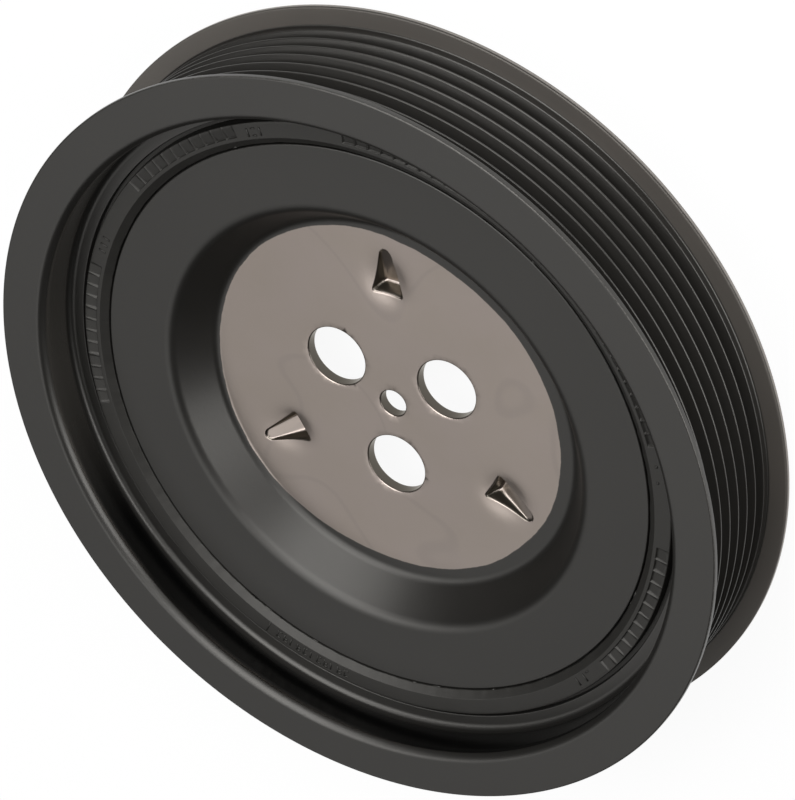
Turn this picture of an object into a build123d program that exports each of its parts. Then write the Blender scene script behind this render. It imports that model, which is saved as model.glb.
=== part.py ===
"""Harmonic balancer: a pressed steel hub, a bonded rubber ring and a ribbed belt pulley ring.

Millimetres. The axis is Z, with the front face up. The origin is the centre of the face that
seats on the crankshaft: the rear face of the hub's centre disc, on the axis.
"""

import math
import os

from build123d import *

# Belt track: seven V ribs between two flanges
pulley_radius = 84.0
rear_flange_radius = 84.4
flange_height = 3.8
flange_thickness = 1.4
land_width = 1.49
rib_count = 7
rib_pitch = 3.56
rib_angle = 40.0
rib_tip_round = 0.25
rib_root_round = 0.5

# Pulley ring inside the belt track
front_stand_off = 20.9
web_thickness = 1.55
recess_fillet = 1.4
recess_lip_round = 0.9
band_width = 4.6
flange_edge_round = 0.35
bore_edge_round = 0.35

# Rubber ring
rubber_thickness = 6.7
rubber_rise = 1.15
rubber_inner_lip = 0.6
rubber_inner_slope = 1.3
rubber_outer_groove = 1.2
groove_depth = 1.6
seam_depth = 0.9
rubber_edge_round = 0.25
rubber_rear_dish = 2.2
rubber_rear_margin = 0.4

# Hub, pressed from plate
plate_thickness = 2.55
shelf_height = 10.7
shelf_width = 14.9
bowl_width = 6.1
bowl_top_bend = 3.0
bowl_floor_bend = 2.2
rim_thickness = 3.0
rim_recess = 2.0
rim_edge_round = 0.45
rim_inner_bend = 1.0

# Fixing holes in the hub's centre disc
bolt_count = 3
bolt_circle_radius = 15.1
bolt_hole_radius = 6.75
bolt_angle = 90.0
centre_hole_radius = 3.0
hole_edge_break = 0.3

# Dents pressed towards the crankshaft, one midway between each two bolt holes
dent_edge_margin = 5.7
dent_length = 11.0
dent_end_run = 1.8
dent_depth = 3.0
dent_tip_width = 3.2
dent_base_width = 6.8
dent_lean = 21.0
dent_wall = 2.0
dent_floor_round = 0.9
dent_mouth_round = 0.8
dent_bulge_round = 0.6

# Radii, worked inwards from the flanges
rib_half_angle = math.radians(rib_angle / 2)
track_radius = pulley_radius - flange_height
rib_point_radius = track_radius + rib_tip_round * (1 / math.sin(rib_half_angle) - 1)
root_point_radius = rib_point_radius - rib_pitch / 2 / math.tan(rib_half_angle)
root_radius = root_point_radius + rib_root_round * (1 / math.sin(rib_half_angle) - 1)
recess_radius = root_radius - web_thickness
bore_radius = recess_radius - band_width
rim_radius = bore_radius - rubber_thickness
rim_inner_radius = rim_radius - rim_thickness
bowl_top_radius = rim_radius - shelf_width
bowl_floor_radius = bowl_top_radius - bowl_width

# Heights, worked from the crankshaft seat
pulley_width = 2 * (flange_thickness + land_width) + rib_count * rib_pitch
front_face = front_stand_off
rear_face = front_face - pulley_width
first_root = front_face - flange_thickness - land_width - rib_pitch / 2
rim_end = rear_face + rim_recess
rubber_rear = rim_end + rubber_rear_margin
rubber_face = shelf_height + rubber_rise

# The bowl's wall keeps the plate's thickness, so its corners step outwards on the rear side
bowl_angle = math.atan2(shelf_height - plate_thickness, bowl_width)
bend_step = plate_thickness * math.tan(bowl_angle / 2)


def points(corners):
    """The (radius, height) points of an outline's corners."""
    return [(radius, height) for radius, height, _ in corners]


def rounds(corners):
    """The rounding radius of each corner of an outline."""
    return [corner_round for _, _, corner_round in corners]


# Belt track outline, from the front flange to the rear one
half_groove = rib_pitch / 2 - (rib_point_radius - track_radius) * math.tan(rib_half_angle)
track_corners = [(track_radius, first_root + half_groove, rib_tip_round)]
for rib in range(rib_count):
    root_height = first_root - rib * rib_pitch
    track_corners.append((root_point_radius, root_height, rib_root_round))
    if rib < rib_count - 1:
        track_corners.append((rib_point_radius, root_height - rib_pitch / 2, rib_tip_round))
last_root = first_root - (rib_count - 1) * rib_pitch
track_corners.append((track_radius, last_root - half_groove, rib_tip_round))

ring_corners = [
    (bore_radius, shelf_height, bore_edge_round),
    (recess_radius, shelf_height, recess_fillet),
    (recess_radius, front_face, recess_lip_round),
    (pulley_radius, front_face, flange_edge_round),
    (pulley_radius, front_face - flange_thickness, flange_edge_round),
    (track_radius, front_face - flange_thickness, flange_edge_round),
    *track_corners,
    (track_radius, rear_face + flange_thickness, flange_edge_round),
    (rear_flange_radius, rear_face + flange_thickness, flange_edge_round),
    (rear_flange_radius, rear_face, flange_edge_round),
    (bore_radius, rear_face, bore_edge_round),
]

with BuildPart() as pulley_ring:
    with BuildSketch(Plane.XZ):
        with BuildLine():
            FilletPolyline(*points(ring_corners), radius=rounds(ring_corners), close=True)
        make_face()
    revolve(axis=Axis.Z)
pulley_ring.part.label = "pulley_ring"

groove_floor = shelf_height - groove_depth
groove_inner_radius = bore_radius - rubber_outer_groove
lip_radius = rim_radius + rubber_inner_lip
rubber_middle_radius = (bore_radius + rim_radius) / 2
rubber_rear_leg = math.hypot(rubber_thickness / 2, rubber_rear_dish)
rubber_rear_round = 0.9 * rubber_rear_leg * rubber_thickness / 2 / rubber_rear_dish
rubber_corners = [
    (rim_radius, shelf_height - seam_depth, 0),
    (rim_radius + rubber_inner_lip / 2, shelf_height - seam_depth, 0),
    (lip_radius, shelf_height, 0),
    (lip_radius + rubber_inner_slope, rubber_face, rubber_edge_round),
    (groove_inner_radius, rubber_face, rubber_edge_round),
    (groove_inner_radius, groove_floor, 0),
    (bore_radius, groove_floor, 0),
    (bore_radius, rubber_rear, 0),
    (rubber_middle_radius, rubber_rear + rubber_rear_dish, rubber_rear_round),
    (rim_radius, rubber_rear, 0),
]

with BuildPart() as rubber_ring:
    with BuildSketch(Plane.XZ):
        with BuildLine():
            FilletPolyline(*points(rubber_corners), radius=rounds(rubber_corners), close=True)
        make_face()
    revolve(axis=Axis.Z)
rubber_ring.part.label = "rubber_ring"

# One dent on the X axis, as rows of (radius, depth, mouth width) from its tip to its inner end
dent_tip_radius = bowl_floor_radius - dent_edge_margin
dent_end_radius = dent_tip_radius - dent_length
dent_deep_radius = dent_end_radius + dent_end_run
lean = math.radians(dent_lean)
end_lean = math.atan2(dent_end_run, dent_depth)
pocket_rows = [
    (dent_tip_radius, 0, dent_tip_width),
    (dent_deep_radius, dent_depth, dent_base_width),
    (dent_end_radius, 0, dent_base_width),
]

# The plate pushed out behind a dent is the pocket's form, larger by the wall left there
wall_step = 2 * dent_wall / math.cos(lean)
bulge_deep_radius = dent_deep_radius - dent_wall * math.tan((math.pi / 2 - end_lean) / 2)
bulge_end_radius = (dent_end_radius + plate_thickness * math.tan(end_lean)
                    - dent_wall / math.cos(end_lean))
bulge_rows = [
    (dent_tip_radius, dent_wall, dent_tip_width + wall_step),
    (bulge_deep_radius, dent_depth + dent_wall, dent_base_width + wall_step),
    (bulge_end_radius, plate_thickness, dent_base_width + wall_step),
]


def dent_section(depth, mouth_width, top):
    """Corners of a dent's cross section, whose sides lean inwards from the plate's front down."""
    floor_half = mouth_width / 2 - depth * math.tan(lean)
    top_half = mouth_width / 2 + top * math.tan(lean)
    return [(-top_half, top), (top_half, top), (floor_half, -depth), (-floor_half, -depth)]


with BuildPart() as dent_pocket:
    for radius, depth, mouth_width in pocket_rows:
        with BuildSketch(Plane((radius, 0, plate_thickness), x_dir=(0, 1, 0), z_dir=(1, 0, 0))):
            with BuildLine():
                Polyline(*dent_section(depth, mouth_width, plate_thickness), close=True)
            make_face()
    loft(ruled=True)

with BuildPart() as dent_bulge:
    for radius, depth, mouth_width in bulge_rows:
        with BuildSketch(Plane((radius, 0, plate_thickness), x_dir=(0, 1, 0), z_dir=(1, 0, 0))):
            with BuildLine():
                Polyline(*dent_section(depth, mouth_width, -plate_thickness / 2), close=True)
            make_face()
    loft(ruled=True)
    bulge_floor = dent_bulge.faces().sort_by(Axis.Z)[0]
    fillet(bulge_floor.edges().sort_by(Axis.X)[:-1], dent_bulge_round)

hub_corners = [
    (0, 0, 0),
    (0, plate_thickness, 0),
    (bowl_floor_radius, plate_thickness, bowl_floor_bend),
    (bowl_top_radius, shelf_height, bowl_top_bend),
    (rim_radius, shelf_height, rim_edge_round),
    (rim_radius, rim_end, rim_edge_round),
    (rim_inner_radius, rim_end, rim_edge_round),
    (rim_inner_radius, shelf_height - plate_thickness, rim_inner_bend),
    (bowl_top_radius + bend_step, shelf_height - plate_thickness, bowl_top_bend - plate_thickness),
    (bowl_floor_radius + bend_step, 0, bowl_floor_bend + plate_thickness),
]

with BuildPart() as hub:
    with BuildSketch(Plane.XZ):
        with BuildLine():
            FilletPolyline(*points(hub_corners), radius=rounds(hub_corners), close=True)
        make_face()
    revolve(axis=Axis.Z)
    with PolarLocations(0, bolt_count, start_angle=bolt_angle + 180 / bolt_count):
        add(dent_bulge.part)
    with PolarLocations(0, bolt_count, start_angle=bolt_angle + 180 / bolt_count):
        add(dent_pocket.part, mode=Mode.SUBTRACT)
    pocket_edges = hub.edges(Select.LAST)
    mouth_edges = pocket_edges.filter_by_position(Axis.Z, plate_thickness, plate_thickness)
    fillet(pocket_edges - mouth_edges, dent_floor_round)
    disc_front = hub.faces().filter_by_position(Axis.Z, plate_thickness, plate_thickness).face()
    fillet([edge for wire in disc_front.inner_wires() for edge in wire.edges()], dent_mouth_round)
    Hole(centre_hole_radius)
    with PolarLocations(bolt_circle_radius, bolt_count, start_angle=bolt_angle):
        Hole(bolt_hole_radius)
    chamfer(hub.edges(Select.LAST).filter_by(GeomType.CIRCLE), hole_edge_break)
hub.part.label = "hub"

os.makedirs("parts", exist_ok=True)
export_step(pulley_ring.part, "parts/pulley_ring.step")
export_step(rubber_ring.part, "parts/rubber_ring.step")
export_step(hub.part, "parts/hub.step")
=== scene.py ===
"""Looks of the harmonic balancer: pressed hub, bonded rubber ring and ribbed pulley ring."""

import math

import bmesh
import bpy
from mathutils import Matrix, Vector, noise
from mathutils.geometry import delaunay_2d_cdt


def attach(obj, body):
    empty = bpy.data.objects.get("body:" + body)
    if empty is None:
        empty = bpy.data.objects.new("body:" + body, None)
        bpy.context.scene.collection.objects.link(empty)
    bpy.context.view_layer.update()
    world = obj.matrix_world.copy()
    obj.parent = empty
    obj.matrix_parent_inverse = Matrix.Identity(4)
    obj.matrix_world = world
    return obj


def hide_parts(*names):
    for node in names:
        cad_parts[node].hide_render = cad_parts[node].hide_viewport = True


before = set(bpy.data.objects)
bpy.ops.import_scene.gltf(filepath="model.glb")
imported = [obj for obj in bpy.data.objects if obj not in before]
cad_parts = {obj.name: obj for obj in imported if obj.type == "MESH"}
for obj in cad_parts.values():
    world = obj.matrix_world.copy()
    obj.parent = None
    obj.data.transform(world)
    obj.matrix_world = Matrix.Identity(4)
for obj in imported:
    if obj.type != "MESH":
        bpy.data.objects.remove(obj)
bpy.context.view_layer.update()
MM = 0.001


# ---------------------------------------------------------------------------
# Hub: one steel pressing, with a flat clamping disc, a bowl, a shelf and a deep
# rim. It is sprayed thin satin black, but a mask kept the paint off the middle
# of the disc, where the bolt heads and the crankshaft clamp it.
# ---------------------------------------------------------------------------
plate = 2.55
shelf_height = 10.7
rim_radius = 63.9
rim_inner_radius = 60.9
rim_end = -7.8
bowl_top_radius = 49.0
bowl_floor_radius = 42.9
bowl_bend_step = 1.277
disc_edge_radius = 41.7

bolt_hole_radius = 6.75
bolt_circle_radius = 15.1
centre_hole_radius = 3.0
hole_edge_round = 0.3

dent_tip_radius = 37.2
dent_end_radius = 26.2
dent_tip_half_width = 1.1
dent_end_half_width = 3.9
dent_depth = 3.0
dent_tip_step = 0.25
dent_ramp_slope = 0.34
dent_side_slope = 2.8
dent_end_slope = 2.4
dent_tip_corner = 4.0
dent_end_corner = 2.4
dent_crease_at_tip = 0.07
dent_crease_growth = 0.31
dent_mouth_softness = 0.09
dent_draw_most = 0.7
dent_draw_share = 1.3
dent_draw_reach = 2.8
dent_wall = 2.0

bolt_angles = [math.radians(degrees) for degrees in (90.0, 210.0, 330.0)]
dent_angles = [math.radians(degrees) for degrees in (30.0, 150.0, 270.0)]

bulge_side_margin = 1.5
bulge_tip_margin = 1.2
bulge_end_margin = 0.7
bulge_ramp_slope = 0.32
bulge_side_slope = 2.2
bulge_end_slope = 1.7
bulge_floor_dip = 0.1
bulge_crease_softness = 0.3
bulge_foot_softness = 0.16

turns = 360
even_angles = [math.tau * step / turns for step in range(turns)]
long_flat = 0.6
flat_margin = 0.12


def arc_points(before, corner, after, size, steps):
    """Points of the arc that rounds one corner of an outline."""
    if size <= 0:
        return [corner]
    point = Vector(corner)
    back = (Vector(before) - point).normalized()
    ahead = (Vector(after) - point).normalized()
    half_angle = math.acos(max(-1.0, min(1.0, back.dot(ahead)))) / 2
    run = size / math.tan(half_angle)
    centre = point + (back + ahead).normalized() * size / math.sin(half_angle)
    first = point + back * run - centre
    last = point + ahead * run - centre
    sweep = math.atan2(first.x * last.y - first.y * last.x, first.dot(last))
    arc = []
    for step in range(steps + 1):
        turn = sweep * step / steps
        arc.append((centre.x + first.x * math.cos(turn) - first.y * math.sin(turn),
                    centre.y + first.x * math.sin(turn) + first.y * math.cos(turn)))
    return arc


def rounded_outline(corners, closed=True, steps=6):
    """Outline through (radius, height, corner round) corners, with a close pair of points at each
    end of a long flat so that the flat keeps its own shading."""
    flat = [(radius, height) for radius, height, _ in corners]
    bends = []
    for index, (radius, height, size) in enumerate(corners):
        if not closed and index in (0, len(corners) - 1):
            bends.append([(radius, height)])
            continue
        bends.append(arc_points(flat[index - 1], flat[index], flat[(index + 1) % len(flat)], size, steps))
    outline = []
    for index, bend in enumerate(bends):
        outline += bend
        if not closed and index == len(bends) - 1:
            break
        start, end = Vector(bend[-1]), Vector(bends[(index + 1) % len(bends)][0])
        if (end - start).length > long_flat:
            along = (end - start).normalized() * flat_margin
            outline += [tuple(start + along), tuple(end - along)]
    return outline


def turn_on_axis(mesh, section, angles, closed=True):
    """Sweep a section about Z. section gives the outline's (radius, height) points at an angle."""
    columns = []
    for angle in angles:
        columns.append([mesh.verts.new((radius * math.cos(angle) * MM, radius * math.sin(angle) * MM,
                                        height * MM)) for radius, height in section(angle)])
    count = len(columns[0])
    for step, column in enumerate(columns):
        following = columns[(step + 1) % len(columns)]
        for index in range(count if closed else count - 1):
            after = (index + 1) % count
            mesh.faces.new((column[index], following[index], following[after], column[after]))


def finish_piece(mesh, name, material, node):
    """Make a smooth-shaded piece that rides on the part and stands for a CAD node."""
    bmesh.ops.remove_doubles(mesh, verts=mesh.verts, dist=1e-7)
    bmesh.ops.recalc_face_normals(mesh, faces=mesh.faces)
    data = bpy.data.meshes.new(name)
    mesh.to_mesh(data)
    mesh.free()
    data.shade_smooth()
    data.materials.append(material)
    piece = bpy.data.objects.new(name, data)
    bpy.context.scene.collection.objects.link(piece)
    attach(piece, "root")
    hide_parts(node)
    return piece


def soft_least(values, softness):
    """The least of some values, rounded off where two of them meet."""
    low = min(values)
    return low - softness * math.log(sum(math.exp((low - value) / softness) for value in values))


def soft_positive(value, softness):
    """The value where it is positive and zero below, rounded off between."""
    if value > 20 * softness:
        return value
    return softness * math.log1p(math.exp(value / softness))


def dent_place(x, y):
    """Distance out along the nearest dent's middle line, and sideways from it."""
    places = [(x * math.cos(away) + y * math.sin(away), y * math.cos(away) - x * math.sin(away))
              for away in dent_angles]
    return max(places, key=lambda place: place[0])


def round_corner(first, second, size):
    """Depth inside a corner between two edges, whose corner is rounded off by size."""
    if first < size and second < size:
        return size - math.hypot(size - first, size - second)
    return min(first, second)


def dent_half_width(out):
    """Half the width of a dent's mouth, which widens from the tip to the inner end."""
    share = min(1.0, max(0.0, (dent_tip_radius - out) / (dent_tip_radius - dent_end_radius)))
    return dent_tip_half_width + (dent_end_half_width - dent_tip_half_width) * share


def dent_pocket(out, across):
    """Depth that the punch leaves below the flat plate: a ramp from the tip down to a steep end."""
    from_tip = dent_tip_radius - out
    share = min(1.0, max(0.0, from_tip / (dent_tip_radius - dent_end_radius)))
    half_width = dent_half_width(out)
    side = dent_side_slope * (half_width - abs(across))
    tip = round_corner(side, dent_side_slope * from_tip, dent_tip_corner)
    end = round_corner(side, dent_end_slope * (out - dent_end_radius), dent_end_corner)
    return soft_least((dent_tip_step + dent_ramp_slope * from_tip, tip, end),
                      dent_crease_at_tip + dent_crease_growth * share)


# The plate round a dent is drawn in with it, so its dip follows the pocket's own depth, spread out
table_step = 0.35
table_first, table_side = 18.0, 10.5
table_rows, table_columns = 76, 61
reach_steps = 20
dip_table = [[max(0.0, dent_pocket(table_first + row * table_step, column * table_step - table_side))
              for column in range(table_columns)] for row in range(table_rows)]
spread = [math.exp(-0.5 * (step * table_step / dent_draw_reach) ** 2)
          for step in range(-reach_steps, reach_steps + 1)]
spread = [weight / sum(spread) for weight in spread]
for _ in range(2):
    dip_table = [[sum(weight * line[place + step - reach_steps] for step, weight in enumerate(spread)
                      if 0 <= place + step - reach_steps < len(line)) for place in range(len(line))]
                 for line in dip_table]
    dip_table = [list(line) for line in zip(*dip_table)]


def drawn_in(out, across):
    """How far the plate is drawn in at a place near a dent, read between the table's points."""
    row = (out - table_first) / table_step
    column = (across + table_side) / table_step
    if not (0 <= row < len(dip_table) - 1 and 0 <= column < len(dip_table[0]) - 1):
        return 0.0
    low_row, low_column = int(row), int(column)
    row_share, column_share = row - low_row, column - low_column
    above = dip_table[low_row]
    below = dip_table[low_row + 1]
    near = above[low_column] + (above[low_column + 1] - above[low_column]) * column_share
    far = below[low_column] + (below[low_column + 1] - below[low_column]) * column_share
    return dent_draw_most * (1 - math.exp(-(dent_draw_share * (near + (far - near) * row_share)) ** 2))


def front_dip(x, y):
    """How far the disc's front face lies below flat, in a dent and in the plate drawn in round it."""
    out, across = dent_place(x, y)
    drawn = drawn_in(out, across)
    return drawn + soft_positive(dent_pocket(out, across) - drawn, dent_mouth_softness)


def rear_bulge(x, y):
    """How far the plate pushed out behind a dent stands off the disc's rear face."""
    out, across = dent_place(x, y)
    share = (dent_tip_radius - out) / (dent_tip_radius - dent_end_radius)
    half_width = (dent_tip_half_width + (dent_end_half_width - dent_tip_half_width) * share
                  + bulge_side_margin)
    ramp = bulge_ramp_slope * (dent_tip_radius - bulge_tip_margin - out)
    end = bulge_end_slope * (out - dent_end_radius + bulge_end_margin)
    side = bulge_side_slope * (half_width - abs(across))
    floor = dent_depth + dent_wall - plate - bulge_floor_dip
    return soft_positive(soft_least((ramp, end, side, floor), bulge_crease_softness), bulge_foot_softness)


hub_mesh = bmesh.new()
bowl_corners = [
    (disc_edge_radius, plate, 0),
    (bowl_floor_radius, plate, 2.2),
    (bowl_top_radius, shelf_height, 3.0),
    (rim_radius, shelf_height, 0.28),
    (rim_radius, rim_end, 0.45),
    (rim_inner_radius, rim_end, 0.45),
    (rim_inner_radius, shelf_height - plate, 1.0),
    (bowl_top_radius + bowl_bend_step, shelf_height - plate, 0.45),
    (bowl_floor_radius + bowl_bend_step, 0, 4.75),
    (disc_edge_radius, 0, 0),
]
bowl_outline = rounded_outline(bowl_corners, closed=False, steps=8)
turn_on_axis(hub_mesh, lambda angle: bowl_outline, even_angles, closed=False)

# The disc is laid out flat first: its edge, its holes, close points round the dents, then the rest
holes = [(0.0, 0.0, centre_hole_radius, 48)]
for angle in bolt_angles:
    holes.append((bolt_circle_radius * math.cos(angle), bolt_circle_radius * math.sin(angle),
                  bolt_hole_radius, 96))
flat_points = [(disc_edge_radius * math.cos(math.tau * step / turns),
                disc_edge_radius * math.sin(math.tau * step / turns)) for step in range(turns)]
hole_rings = []
for hole_x, hole_y, hole_radius, count in holes:
    hole_rings.append(range(len(flat_points), len(flat_points) + count))
    for step in range(count):
        flat_points.append((hole_x + (hole_radius + hole_edge_round) * math.cos(math.tau * step / count),
                            hole_y + (hole_radius + hole_edge_round) * math.sin(math.tau * step / count)))


def near_hole(x, y, margin):
    """Whether a point lies in a hole or closer to its edge than margin."""
    return any(math.hypot(x - hole_x, y - hole_y) < hole_radius + hole_edge_round + margin
               for hole_x, hole_y, hole_radius, _ in holes)


# The points near a dent run along its edges, and close up towards them
patch_first, patch_step, patch_rows = 21.7, 0.25, 78
patch_half_width = 7.5
inside_steps = 14
inside_shares = [math.sin(math.pi / 2 * step / inside_steps)
                 for step in range(-inside_steps, inside_steps + 1)]
outside_shares = [0.033, 0.078, 0.14, 0.217, 0.306, 0.417, 0.542, 0.681, 0.833, 1.0]
for away in dent_angles:
    for row in range(patch_rows):
        out = patch_first + row * patch_step
        half_width = dent_half_width(out)
        columns = [share * half_width for share in inside_shares]
        columns += [side * (half_width + share * (patch_half_width - half_width))
                    for share in outside_shares for side in (-1, 1)]
        for across in columns:
            flat_points.append((out * math.cos(away) - across * math.sin(away),
                                out * math.sin(away) + across * math.cos(away)))

# Elsewhere they stand in rows of triangles, clear of the dents' patches, the holes and the edge
grid_step, grid_row_share = 1.4, 0.866
grid_edge_margin, grid_hole_margin = 0.9, 0.5
patch_clear_from, patch_clear_side = 21.3, 8.0
for row in range(-34, 35):
    for column in range(-31, 32):
        x = (column + 0.5 * (row % 2)) * grid_step
        y = row * grid_step * grid_row_share
        out, across = dent_place(x, y)
        on_disc = math.hypot(x, y) < disc_edge_radius - grid_edge_margin
        in_patch = out > patch_clear_from and abs(across) < patch_clear_side
        if on_disc and not in_patch and not near_hole(x, y, grid_hole_margin):
            flat_points.append((x, y))

laid_out = delaunay_2d_cdt([Vector(point) for point in flat_points], [], [], 0, 1e-6)
disc_places, disc_faces, disc_sources = laid_out[0], laid_out[2], laid_out[3]
new_index = {source: index for index, sources in enumerate(disc_sources) for source in sources}
front = [hub_mesh.verts.new((place.x * MM, place.y * MM, (plate - front_dip(place.x, place.y)) * MM))
         for place in disc_places]
rear = [hub_mesh.verts.new((place.x * MM, place.y * MM, -rear_bulge(place.x, place.y) * MM))
        for place in disc_places]
for face in disc_faces:
    centre = sum((disc_places[index] for index in face), Vector((0.0, 0.0))) / len(face)
    if near_hole(centre.x, centre.y, -0.05):
        continue
    hub_mesh.faces.new([front[index] for index in face])
    hub_mesh.faces.new([rear[index] for index in reversed(face)])

# A hole's wall flares a little towards both faces, by the depth below the face
hole_flares = [(0.15, 0.06), (0.03, 0.2), (0.0, 0.36)]
wall_levels = [(flare, plate - depth) for flare, depth in hole_flares] + hole_flares[::-1]
for (hole_x, hole_y, hole_radius, count), ring in zip(holes, hole_rings):
    levels = [[front[new_index[source]] for source in ring]]
    for flare, height in wall_levels:
        level = []
        for step in range(count):
            x = hole_x + (hole_radius + flare) * math.cos(math.tau * step / count)
            y = hole_y + (hole_radius + flare) * math.sin(math.tau * step / count)
            level.append(hub_mesh.verts.new((x * MM, y * MM, height * MM)))
        levels.append(level)
    levels.append([rear[new_index[source]] for source in ring])
    for upper, lower in zip(levels, levels[1:]):
        for step in range(count):
            ahead = (step + 1) % count
            hub_mesh.faces.new((upper[step], upper[ahead], lower[ahead], lower[step]))


def add_node(tree, kind, inputs=None, **settings):
    """Add a shader node. inputs maps a socket to a plain value or to the socket that feeds it."""
    made = tree.nodes.new("ShaderNode" + kind)
    for name, value in settings.items():
        setattr(made, name, value)
    set_inputs(tree, made, inputs or {})
    return made


def set_inputs(tree, shader, inputs):
    """Feed a node's sockets with plain values or with other sockets."""
    for socket, value in inputs.items():
        if isinstance(value, bpy.types.NodeSocket):
            tree.links.new(value, shader.inputs[socket])
        else:
            shader.inputs[socket].default_value = value


def maths(tree, operation, *values):
    """Add a Math node on one, two or three values and return its result."""
    return add_node(tree, "Math", dict(enumerate(values)), operation=operation).outputs[0]


def blend_between(tree, value, low, high, to_low=0.0, to_high=1.0):
    """Blend smoothly from to_low to to_high while value goes from low to high."""
    inputs = {"Value": value, "From Min": low, "From Max": high, "To Min": to_low, "To Max": to_high}
    return add_node(tree, "MapRange", inputs, interpolation_type="SMOOTHSTEP").outputs["Result"]


def where_all(tree, *masks):
    """Multiply masks, so that the result is high only where every one of them is."""
    product = masks[-1]
    for mask in reversed(masks[:-1]):
        product = maths(tree, "MULTIPLY", mask, product)
    return product


def mix_colour(tree, share, first, second):
    """Mix two colours by share."""
    return add_node(tree, "Mix", {0: share, 6: first, 7: second}, data_type="RGBA").outputs[2]


def mix_value(tree, share, first, second):
    """Mix two numbers by share."""
    return add_node(tree, "Mix", {0: share, 2: first, 3: second}).outputs[0]


def grain(tree, place, scale, detail=2.0, roughness=0.5):
    """Noise from 0 to 1, with scale features to the metre."""
    inputs = {"Vector": place, "Scale": scale, "Detail": detail, "Roughness": roughness}
    return add_node(tree, "TexNoise", inputs).outputs["Fac"]


def new_group(name, inputs, outputs):
    """Start a shader node group with named inputs and outputs, each given as (name, type)."""
    tree = bpy.data.node_groups.new(name, "ShaderNodeTree")
    for side, sockets in (("INPUT", inputs), ("OUTPUT", outputs)):
        for socket_name, kind in sockets:
            tree.interface.new_socket(socket_name, in_out=side, socket_type="NodeSocket" + kind)
    entry = tree.nodes.new("NodeGroupInput")
    leave = tree.nodes.new("NodeGroupOutput")
    return tree, entry.outputs, leave.inputs


def place_group(tree, group, inputs=None):
    """Place a node group in a material with its own values and return its outputs."""
    made = tree.nodes.new("ShaderNodeGroup")
    made.node_tree = group
    set_inputs(tree, made, inputs or {})
    return made.outputs


def new_material(name):
    """Start a material and return it with its node tree and its Principled shader."""
    material = bpy.data.materials.new(name)
    material.use_nodes = True
    return material, material.node_tree, material.node_tree.nodes["Principled BSDF"]


# Place about the turning axis: radius and height in millimetres, and the turn from 0 to 1
turned_tree, _, turned_out = new_group(
    "place about the axis", [],
    [("Point", "Vector"), ("Radius", "Float"), ("Height", "Float"), ("Turn", "Float")])
object_point = add_node(turned_tree, "TexCoord").outputs["Object"]
axes = add_node(turned_tree, "SeparateXYZ", {0: object_point}).outputs
square_sum = maths(turned_tree, "ADD", maths(turned_tree, "MULTIPLY", axes[0], axes[0]),
                   maths(turned_tree, "MULTIPLY", axes[1], axes[1]))
turned_tree.links.new(object_point, turned_out["Point"])
turned_tree.links.new(maths(turned_tree, "DIVIDE", maths(turned_tree, "SQRT", square_sum), MM),
                      turned_out["Radius"])
turned_tree.links.new(maths(turned_tree, "DIVIDE", axes[2], MM), turned_out["Height"])
turn_angle = maths(turned_tree, "ARCTAN2", axes[1], axes[0])
turned_tree.links.new(maths(turned_tree, "ADD", maths(turned_tree, "DIVIDE", turn_angle, math.tau), 0.5),
                      turned_out["Turn"])

# Thin satin black paint: cloudy, lightly peeled, and rubbed through to grey metal where Rubbed is high
paint_tree, paint_in, paint_out = new_group(
    "satin black paint",
    [("Point", "Vector"), ("Rubbed", "Float")],
    [("Color", "Color"), ("Roughness", "Float"), ("Metallic", "Float"), ("Height", "Float")])
paint_cloud = grain(paint_tree, paint_in["Point"], 45.0, 3.0)
paint_speck = grain(paint_tree, paint_in["Point"], 2600.0, 3.0, 0.6)
paint_peel = grain(paint_tree, paint_in["Point"], 900.0, 2.0)
paint_colour = mix_colour(paint_tree, paint_cloud, (0.0040, 0.0038, 0.0034, 1), (0.0064, 0.0060, 0.0053, 1))
rubbed_colour = mix_colour(paint_tree, paint_speck, (0.18, 0.166, 0.152, 1), (0.32, 0.297, 0.275, 1))
rubbed_share = blend_between(paint_tree, maths(
    paint_tree, "ADD", paint_in["Rubbed"], maths(paint_tree, "MULTIPLY", paint_speck, 0.45)), 0.75, 1.25)
paint_tree.links.new(mix_colour(paint_tree, rubbed_share, paint_colour, rubbed_colour), paint_out["Color"])
paint_tree.links.new(maths(
    paint_tree, "ADD", maths(paint_tree, "MULTIPLY", paint_cloud, 0.08), 0.37), paint_out["Roughness"])
paint_tree.links.new(maths(paint_tree, "MULTIPLY", rubbed_share, 0.75), paint_out["Metallic"])
paint_tree.links.new(maths(
    paint_tree, "ADD", paint_peel, maths(paint_tree, "MULTIPLY", paint_speck, 0.5)), paint_out["Height"])

hub_material, hub_tree, hub_shader = new_material("hub_paint_and_bare_steel")
hub_place = place_group(hub_tree, turned_tree)
hub_paint = place_group(hub_tree, paint_tree, {"Point": hub_place["Point"], "Rubbed": 0.0})

# Edge of the bare patch: (turn, radius) read round the disc, with a small wander on top
patch_edge = [(0.0, 41.6), (0.056, 42.05), (0.111, 41.9), (0.167, 42.0), (0.222, 42.3), (0.278, 42.3),
              (0.333, 41.2), (0.389, 40.1), (0.444, 39.8), (0.5, 39.5), (0.556, 39.2), (0.611, 39.35),
              (0.667, 39.3), (0.722, 39.35), (0.778, 39.6), (0.833, 39.4), (0.889, 40.05), (0.944, 41.1),
              (1.0, 41.6)]
curve_low, curve_span = 30.0, 20.0
patch_curve = add_node(hub_tree, "FloatCurve", {"Value": hub_place["Turn"]})
patch_points = patch_curve.mapping.curves[0].points
for turn, radius in patch_edge[1:-1]:
    patch_points.new(turn, (radius - curve_low) / curve_span)
patch_points[0].location = (0.0, (patch_edge[0][1] - curve_low) / curve_span)
patch_points[-1].location = (1.0, (patch_edge[-1][1] - curve_low) / curve_span)
patch_curve.mapping.update()
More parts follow.
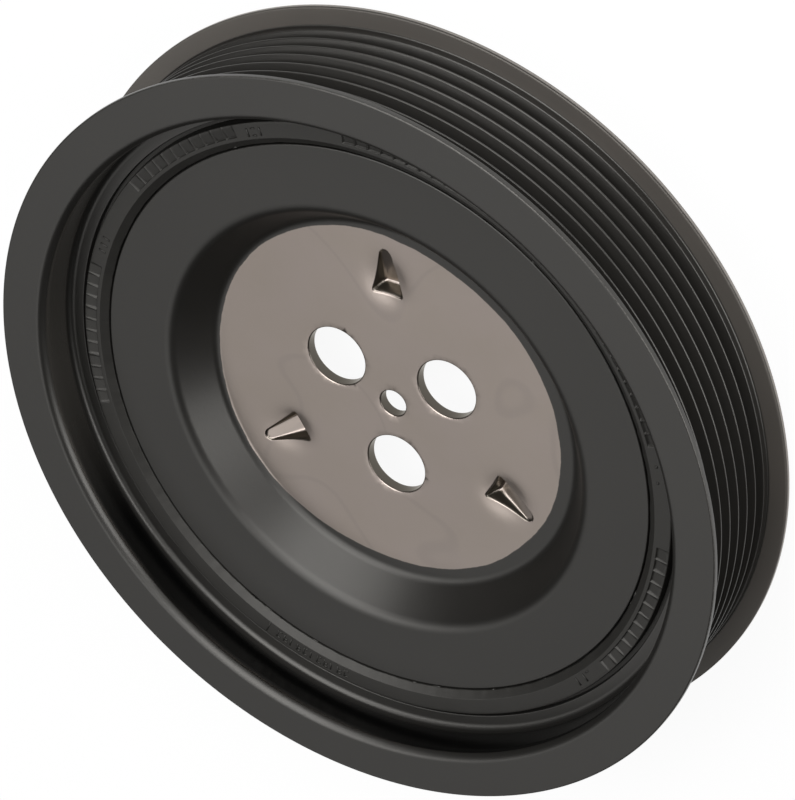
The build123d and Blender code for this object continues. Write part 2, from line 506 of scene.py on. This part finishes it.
patch_radius = maths(hub_tree, "MULTIPLY_ADD", patch_curve.outputs[0], curve_span, curve_low)
patch_wander = maths(
    hub_tree, "MULTIPLY_ADD", grain(hub_tree, hub_place["Point"], 160.0, 4.0, 0.6), 0.7, -0.35)
past_patch = maths(hub_tree, "SUBTRACT", maths(hub_tree, "ADD", hub_place["Radius"], patch_wander),
                   patch_radius)
bare_share = where_all(
    hub_tree, blend_between(hub_tree, past_patch, -0.12, 0.12, 1.0, 0.0),
    blend_between(hub_tree, hub_place["Height"], plate + 0.85, plate + 1.25, 1.0, 0.0))
steel_cloud = grain(hub_tree, hub_place["Point"], 38.0, 5.0, 0.6)
steel_tint = grain(hub_tree, hub_place["Point"], 75.0, 2.0)
steel_speck = grain(hub_tree, hub_place["Point"], 2200.0, 3.0, 0.6)
steel_colour = mix_colour(
    hub_tree, maths(hub_tree, "MULTIPLY", steel_tint, 0.5),
    mix_colour(hub_tree, steel_cloud, (0.325, 0.280, 0.242, 1), (0.395, 0.342, 0.298, 1)),
    (0.350, 0.297, 0.290, 1))

# Drops of oil dried on the bare steel and left faint outlines
stain_cloud = grain(hub_tree, hub_place["Point"], 26.0, 1.0)
stain_edge = blend_between(hub_tree, maths(hub_tree, "ABSOLUTE", maths(
    hub_tree, "SUBTRACT", stain_cloud, 0.56)), 0.002, 0.012, 0.35, 0.0)
steel_colour = mix_colour(hub_tree, stain_edge, steel_colour, (0.300, 0.262, 0.240, 1))

# Painted shade: the bare steel is coloured darker where its surface leans steeply, on the steep sides of
# the dents and the walls of the holes. At the mouths of the dents this painted shade begins where the plate
# starts to lean, and dims the highlight on the rounding there
surface_normal = add_node(hub_tree, "NewGeometry").outputs["Normal"]
surface_lean = add_node(hub_tree, "SeparateXYZ", {0: surface_normal}).outputs[2]
at_mouth = where_all(
    hub_tree, blend_between(hub_tree, hub_place["Height"], plate - 0.65, plate - 0.25),
    blend_between(hub_tree, hub_place["Radius"], dent_end_radius - 4.2, dent_end_radius - 3.2))
painted_lean_shade = maths(
    hub_tree, "MAXIMUM", blend_between(hub_tree, surface_lean, 0.72, 0.5),
    where_all(hub_tree, at_mouth, blend_between(hub_tree, surface_lean, 0.93, 0.80)))
# The dark mixed in here is painted shade, set by how far the surface leans
steel_colour = mix_colour(hub_tree, painted_lean_shade, steel_colour, (0.115, 0.104, 0.088, 1))
hub_bump = add_node(hub_tree, "Bump", {"Strength": 0.25, "Distance": 0.00004, "Height": maths(
    hub_tree, "ADD", hub_paint["Height"], maths(hub_tree, "MULTIPLY", steel_speck, 0.3))})
set_inputs(hub_tree, hub_shader, {
    "Base Color": mix_colour(hub_tree, bare_share, hub_paint["Color"], steel_colour),
    "Roughness": mix_value(hub_tree, bare_share, hub_paint["Roughness"], maths(
        hub_tree, "ADD", maths(hub_tree, "MULTIPLY", steel_cloud, 0.08), 0.25)),
    "Metallic": mix_value(hub_tree, bare_share, hub_paint["Metallic"], 1.0),
    "IOR": 1.6,
    "Specular Tint": (1.0, 0.975, 0.93, 1),
    "Normal": hub_bump.outputs[0],
})
finish_piece(hub_mesh, "hub_pressing", hub_material, "hub")


# ---------------------------------------------------------------------------
# Rubber ring: natural rubber moulded and bonded between the hub's rim and the
# pulley ring. It is matt, with a ragged seam against the hub and moulded tick
# scales on its flat face.
# ---------------------------------------------------------------------------
ring_bore_radius = 70.6
rubber_face = 11.85
rubber_rear = -7.4
rubber_turns = 900
seam_depth = 0.9

# Tick scales, each a row of shallow cells between thin ribs, by first angle, last angle and cells
tick_scales = [(22.0, 53.5, 12), (74.0, 104.0, 12), (117.0, 152.0, 14), (174.0, 202.0, 11),
               (223.0, 253.0, 12)]
tick_radius = 67.5
tick_inner = 66.6
tick_outer = 68.8
cell_depth = 0.5
cell_wall = 0.06
tick_half_width = 0.09
tick_top_turn, tick_foot_turn, tick_clear_turn = 0.076, 0.128, 0.24

# Strokes and crumbs stand on the rubber, each rooted a little below the face that carries it
stroke_root, stroke_rise = 0.02, 0.2
crumb_root, crumb_rise = 0.35, 0.5


def uneven(angle, per_turn, seed):
    """Smooth random value about zero that varies round the ring."""
    return noise.noise(Vector((math.cos(angle), math.sin(angle), 0.0)) * per_turn + Vector((0, 0, seed)))


def sunk_cell(angle):
    """Depth of the tick scale's cell at a place round the ring, which is nothing on its ribs."""
    turned = math.degrees(angle) % 360
    for first, last, cells in tick_scales:
        if first <= turned <= last:
            pitch = (last - first) / cells
            along = (turned - first) / pitch
            from_rib = abs(along - round(along)) * math.radians(pitch) * tick_radius
            return cell_depth * min(1.0, max(0.0, (from_rib - tick_half_width) / cell_wall))
    return 0.0


def rubber_section(angle):
    """The rubber's outline at one place round the ring."""
    rag = 0.10 * uneven(angle, 26.0, 1.7) + 0.06 * uneven(angle, 90.0, 5.1)
    lift = 0.06 * uneven(angle, 40.0, 9.4)
    sunk = sunk_cell(angle)
    return rounded_outline([
        (rim_radius, shelf_height - seam_depth, 0),
        (rim_radius + 0.20 + rag, shelf_height - seam_depth, 0),
        (rim_radius + 0.36 + rag, shelf_height + lift, 0.12),
        (rim_radius + 1.9, rubber_face, 0.25),
        (tick_inner, rubber_face, 0),
        (tick_inner + cell_wall, rubber_face - sunk, 0),
        (tick_outer, rubber_face - 0.15 * sunk, 0),
        (ring_bore_radius - 1.1, rubber_face, 0.25),
        (ring_bore_radius - 1.0, shelf_height - 1.3, 0.2),
        (ring_bore_radius, shelf_height - 1.3, 0),
        (ring_bore_radius, rubber_rear, 0),
        (rim_radius + 3.35, rubber_rear + 2.2, 5.4),
        (rim_radius, rubber_rear, 0),
    ], steps=4)


tick_angles = [first + (last - first) * tick / cells
               for first, last, cells in tick_scales for tick in range(cells + 1)]
rubber_angles = [tick + aside for tick in tick_angles
                 for aside in (-tick_foot_turn, -tick_top_turn, tick_top_turn, tick_foot_turn)]
rubber_angles += [360 * step / rubber_turns for step in range(rubber_turns)
                  if all(abs(360 * step / rubber_turns - tick) > tick_clear_turn for tick in tick_angles)]
rubber_mesh = bmesh.new()
turn_on_axis(rubber_mesh, rubber_section, [math.radians(angle) for angle in sorted(rubber_angles)])


def raised_bar(mesh, start_angle, end_angle, inner_radius, outer_radius, base, rise):
    """Add a low bar with leaning sides on the rubber's face, between two angles and two radii."""
    steps = max(1, round(abs(end_angle - start_angle) / math.radians(0.6)))
    lean = rise * 0.45
    turn_lean = lean / inner_radius
    loops = []
    for step in range(steps + 1):
        share = step / steps
        low = start_angle + (end_angle - start_angle) * share
        high = (start_angle + turn_lean) + (end_angle - start_angle - 2 * turn_lean) * share
        corners = ((inner_radius, low, base), (inner_radius + lean, high, base + rise),
                   (outer_radius - lean, high, base + rise), (outer_radius, low, base))
        loops.append([mesh.verts.new((radius * math.cos(angle) * MM, radius * math.sin(angle) * MM,
                                      height * MM)) for radius, angle, height in corners])
    for first, second in zip(loops, loops[1:]):
        for index in range(4):
            after = (index + 1) % 4
            mesh.faces.new((first[index], second[index], second[after], first[after]))
    mesh.faces.new(loops[0])
    mesh.faces.new(reversed(loops[-1]))


# Plain moulded marks at the scales' ends and in one row: strokes by angle, length and two radii
strokes = [(168.6, 0.35, 66.4, 68.4), (170.0, 0.9, 66.4, 66.8), (170.0, 0.9, 68.0, 68.4),
           (171.3, 0.35, 66.4, 68.4), (216.4, 0.35, 66.5, 68.3), (218.0, 0.35, 66.5, 68.3),
           (219.4, 0.35, 66.5, 68.3), (67.0, 0.5, 66.9, 67.5), (70.2, 0.5, 67.2, 67.8),
           (14.6, 0.35, 66.4, 68.4), (16.6, 0.35, 66.4, 68.4), (17.9, 0.9, 66.4, 66.8),
           (304.9, 0.3, 65.9, 68.8)]
for mark in range(11):
    place = 307.0 + 1.45 * mark
    strokes.append((place, 0.35, 66.4, 68.4))
    if mark % 3 != 2:
        strokes.append((place + 0.45, 0.8, 66.4 + 0.8 * (mark % 2), 66.8 + 0.8 * (mark % 2)))
        strokes.append((place + 0.45, 0.8, 68.0, 68.4))

# Crumbs of flash left along the seam against the hub, by angle, length and two radii
crumbs = [(37.5, 0.9, 63.98, 64.5), (40.0, 1.5, 63.95, 64.7), (59.0, 0.8, 63.98, 64.4),
          (112.0, 1.1, 63.96, 64.5), (176.5, 1.0, 63.98, 64.6), (178.8, 0.6, 63.97, 64.4),
          (299.5, 1.4, 63.95, 64.3), (303.0, 1.9, 63.94, 64.4), (306.0, 0.7, 63.97, 64.3),
          (314.0, 1.6, 63.95, 64.4), (336.0, 1.2, 63.95, 64.5), (341.0, 2.0, 63.95, 64.4),
          (354.0, 0.8, 63.97, 64.5), (7.0, 1.0, 63.98, 64.5)]
for bars, base, rise in ((strokes, rubber_face - stroke_root, stroke_rise),
                         (crumbs, shelf_height - crumb_root, crumb_rise)):
    for place, length, inner, outer in bars:
        raised_bar(rubber_mesh, math.radians(place - length / 2), math.radians(place + length / 2),
                   inner, outer, base, rise)

rubber_material, rubber_tree, rubber_shader = new_material("moulded_rubber")
rubber_place = place_group(rubber_tree, turned_tree)
rubber_cloud = grain(rubber_tree, rubber_place["Point"], 90.0, 4.0)
rubber_speck = grain(rubber_tree, rubber_place["Point"], 1600.0, 3.0, 0.65)
rubber_bump = add_node(rubber_tree, "Bump", {"Strength": 0.4, "Distance": 0.00004, "Height": rubber_speck})
set_inputs(rubber_tree, rubber_shader, {
    "Base Color": mix_colour(
        rubber_tree, rubber_cloud, (0.0068, 0.0065, 0.0058, 1), (0.0112, 0.0107, 0.0096, 1)),
    "Roughness": maths(rubber_tree, "ADD", maths(rubber_tree, "MULTIPLY", rubber_cloud, 0.14), 0.42),
    "Specular Tint": (1.0, 0.975, 0.93, 1),
    "Normal": rubber_bump.outputs[0],
})
finish_piece(rubber_mesh, "rubber_moulding", rubber_material, "rubber_ring")


# ---------------------------------------------------------------------------
# Pulley ring: the heavy ring, turned all over from iron with a front recess and
# seven belt grooves between two flanges, then painted like the hub. The paint
# is thin on its sharp edges, where handling has rubbed it to the metal.
# ---------------------------------------------------------------------------
pulley_radius = 84.0
rear_flange_radius = 84.4
track_radius = 80.2
recess_radius = 73.9
recess_lip_width = 1.75
recess_lip_drop = 2.6
front_face = 20.9
rear_face = -9.8
flange_thickness = 1.4
land_width = 1.49
groove_count = 7
groove_pitch = 3.56
groove_half_angle = math.radians(20)
tip_round = 0.25
root_round = 0.5
edge_round = 0.35

tip_point_radius = track_radius + tip_round * (1 / math.sin(groove_half_angle) - 1)
root_point_radius = tip_point_radius - groove_pitch / 2 / math.tan(groove_half_angle)
half_groove = groove_pitch / 2 - (tip_point_radius - track_radius) * math.tan(groove_half_angle)
first_root = front_face - flange_thickness - land_width - groove_pitch / 2
track_corners = [(track_radius, first_root + half_groove, tip_round)]
for groove in range(groove_count):
    root_height = first_root - groove * groove_pitch
    track_corners.append((root_point_radius, root_height, root_round))
    if groove < groove_count - 1:
        track_corners.append((tip_point_radius, root_height - groove_pitch / 2, tip_round))
track_corners.append((track_radius, root_height - half_groove, tip_round))

# The recess's worn lip is a quarter of an oval, half as tall again as it is wide
lip_steps = 14
recess_lip = []
for step in range(lip_steps + 1):
    lip_turn = math.pi / 2 * step / lip_steps
    recess_lip.append((recess_radius + recess_lip_width * (1 - math.cos(lip_turn)),
                       front_face - recess_lip_drop * (1 - math.sin(lip_turn)), 0))

ring_outline = rounded_outline([
    (ring_bore_radius, shelf_height, 0.2),
    (recess_radius, shelf_height, 1.2),
    *recess_lip,
    (pulley_radius, front_face, edge_round),
    (pulley_radius, front_face - flange_thickness, edge_round),
    (track_radius, front_face - flange_thickness, edge_round),
    *track_corners,
    (track_radius, rear_face + flange_thickness, edge_round),
    (rear_flange_radius, rear_face + flange_thickness, edge_round),
    (rear_flange_radius, rear_face, edge_round),
    (ring_bore_radius, rear_face, edge_round),
], steps=7)
ring_mesh = bmesh.new()
turn_on_axis(ring_mesh, lambda angle: ring_outline, even_angles)

ring_material, ring_tree, ring_shader = new_material("ring_paint")
ring_place = place_group(ring_tree, turned_tree)
ring_radius, ring_height = ring_place["Radius"], ring_place["Height"]
rim_lines = blend_between(ring_tree, maths(ring_tree, "PINGPONG", ring_height, 0.23), 0.13, 0.2, 0.0, 0.3)
rim_low, rim_high = rear_flange_radius - 0.3, rear_flange_radius - 0.1
rim_rub = maths(
    ring_tree, "SUBTRACT", blend_between(ring_tree, ring_radius, rim_low, rim_high, 0.0, 1.1),
    where_all(ring_tree, rim_lines, blend_between(ring_tree, ring_radius, rim_low, rim_high)))
edge_rub = where_all(
    ring_tree, blend_between(ring_tree, ring_radius, pulley_radius - 0.3, pulley_radius - 0.15),
    blend_between(ring_tree, ring_height, front_face - 0.35, front_face - 0.2, 0.0, 0.6))
ring_paint = place_group(ring_tree, paint_tree, {
    "Point": ring_place["Point"], "Rubbed": maths(ring_tree, "ADD", rim_rub, edge_rub)})
ring_bump = add_node(ring_tree, "Bump", {
    "Strength": 0.25, "Distance": 0.00004, "Height": ring_paint["Height"]})

# The belt track keeps a duller coat and the rear flange's inner face a lighter grey colour. The recess's
# wall is coloured near black as painted shade, and a lighter grey on its -X side as painted light
in_track = where_all(
    ring_tree, blend_between(ring_tree, ring_radius, track_radius - 4.1, track_radius - 3.8),
    blend_between(ring_tree, ring_height, rear_face + 0.8, rear_face + 1.1),
    blend_between(ring_tree, ring_height, front_face - 0.35, front_face - 0.5))
on_flange = where_all(
    ring_tree, blend_between(ring_tree, ring_radius, track_radius + 0.2, track_radius + 0.5),
    blend_between(ring_tree, ring_height, rear_face + 1.0, rear_face + 1.3),
    blend_between(ring_tree, ring_height, rear_face + 1.7, rear_face + 1.5))
on_wall = where_all(
    ring_tree, blend_between(ring_tree, ring_radius, recess_radius - 0.5, recess_radius - 0.3),
    blend_between(ring_tree, ring_radius, recess_radius + 0.25, recess_radius + 0.08),
    blend_between(ring_tree, ring_height, shelf_height + 1.3, shelf_height + 2.3))
# Painted shade and painted light on the recess wall: near black all round, lighter grey towards turn 0 (the
# -X side)
wall_painted_light = maths(ring_tree, "ADD", blend_between(ring_tree, ring_place["Turn"], 0.17, 0.27, 1.0, 0.0),
                  blend_between(ring_tree, ring_place["Turn"], 0.75, 0.85))
wall_painted_shade_and_light = mix_colour(ring_tree, wall_painted_light, (0.0010, 0.0010, 0.0010, 1), (0.030, 0.028, 0.025, 1))
# The rear flange's inner face is coloured a lighter grey than the paint
flange_grey = mix_colour(ring_tree, grain(ring_tree, ring_place["Point"], 30.0, 3.0),
                         (0.050, 0.046, 0.041, 1), (0.076, 0.067, 0.059, 1))
ring_colour = mix_colour(ring_tree, on_flange, mix_colour(
    ring_tree, in_track, ring_paint["Color"], (0.0095, 0.0088, 0.0078, 1)), flange_grey)
set_inputs(ring_tree, ring_shader, {
    "Base Color": mix_colour(ring_tree, on_wall, ring_colour, wall_painted_shade_and_light),
    "Roughness": mix_value(ring_tree, on_wall, mix_value(
        ring_tree, on_flange, mix_value(ring_tree, in_track, ring_paint["Roughness"], 0.36), 0.5), 0.2),
    "Specular IOR Level": mix_value(ring_tree, on_wall, 0.5, 0.3),
    "Metallic": ring_paint["Metallic"],
    "IOR": 1.65,
    "Specular Tint": (1.0, 0.975, 0.93, 1),
    "Normal": ring_bump.outputs[0],
})
finish_piece(ring_mesh, "pulley_turning", ring_material, "pulley_ring")


# ---------------------------------------------------------------------------
# Studio: a white floor just under the part, two broad soft lights beyond it, a
# key light over the near side, three smaller ones, and a long lens that looks
# down at the front face.
# ---------------------------------------------------------------------------
floor_gap = 0.05
floor_height = (rear_face - floor_gap) * MM
floor_half = 20.0
floor_data = bpy.data.meshes.new("studio_floor")
floor_data.from_pydata([(-floor_half, -floor_half, floor_height), (floor_half, -floor_half, floor_height),
                        (floor_half, floor_half, floor_height), (-floor_half, floor_half, floor_height)],
                       [], [(0, 1, 2, 3)])
floor = bpy.data.objects.new("studio_floor", floor_data)
bpy.context.scene.collection.objects.link(floor)

floor_material, floor_tree, floor_shader = new_material("white_floor")
light_path = add_node(floor_tree, "LightPath").outputs
seen_directly = maths(floor_tree, "MAXIMUM", light_path["Is Camera Ray"], maths(
    floor_tree, "MAXIMUM", light_path["Is Glossy Ray"], light_path["Is Transmission Ray"]))
floor_glow = add_node(floor_tree, "Emission", {"Color": (1, 1, 1, 1), "Strength": 1.0})
set_inputs(floor_tree, floor_shader, {"Base Color": (0.8, 0.8, 0.8, 1), "Roughness": 0.9})
floor_mix = add_node(floor_tree, "MixShader", {
    0: maths(floor_tree, "MULTIPLY", seen_directly, 0.93), 1: floor_shader.outputs[0],
    2: floor_glow.outputs[0]})
floor_tree.links.new(floor_mix.outputs[0], floor_tree.nodes["Material Output"].inputs[0])
floor_data.materials.append(floor_material)

view_azimuth = math.radians(111.48)
view_elevation = math.radians(43.61)
view_roll = math.radians(-134.09)
view_distance = 0.938
view_aim = Vector((-0.0034, 0.00903, 0.01012))
view_back = Vector((math.cos(view_elevation) * math.cos(view_azimuth),
                    math.cos(view_elevation) * math.sin(view_azimuth), math.sin(view_elevation)))
camera_data = bpy.data.cameras.new("studio_camera")
camera_data.sensor_width = 36.0
camera_data.lens = 209.94
camera = bpy.data.objects.new("studio_camera", camera_data)
bpy.context.scene.collection.objects.link(camera)
camera.matrix_world = (Matrix.Translation(view_aim + view_back * view_distance)
                       @ view_back.to_track_quat("Z", "Y").to_matrix().to_4x4()
                       @ Matrix.Rotation(view_roll, 4, "Z"))
bpy.context.scene.camera = camera
light_distance = 1.5


def add_softbox(name, azimuth, elevation, width, height, radiance):
    """Hang a softbox that faces the part, bright as a surface of that radiance. Its size is in
    metres, its place round and above the part in degrees."""
    azimuth, elevation = math.radians(azimuth), math.radians(elevation)
    data = bpy.data.lights.new(name, "AREA")
    data.shape = "RECTANGLE"
    data.size = width
    data.size_y = height
    data.energy = radiance * math.pi * width * height
    lamp = bpy.data.objects.new(name, data)
    bpy.context.scene.collection.objects.link(lamp)
    towards = Vector((math.cos(elevation) * math.cos(azimuth), math.cos(elevation) * math.sin(azimuth),
                      math.sin(elevation)))
    lamp.location = towards * light_distance
    lamp.rotation_euler = towards.to_track_quat("Z", "Y").to_euler()


add_softbox("key_light", 148, 45, 1.5, 1.4, 4.2)
add_softbox("top_light", 190, 78, 0.9, 0.9, 2.4)
add_softbox("far_light", 292, 54, 1.3, 1.4, 0.68)
add_softbox("upper_light", 290, 69, 1.2, 0.7, 0.68)
add_softbox("side_light", 225, 62, 0.6, 0.5, 2.8)
add_softbox("low_strip", 70, 14, 1.3, 0.8, 5.4)

world = bpy.data.worlds.new("studio_air")
bpy.context.scene.world = world
world.use_nodes = True
set_inputs(world.node_tree, world.node_tree.nodes["Background"], {"Color": (1, 1, 1, 1), "Strength": 0.02})
bpy.context.scene.view_settings.view_transform = "Standard"
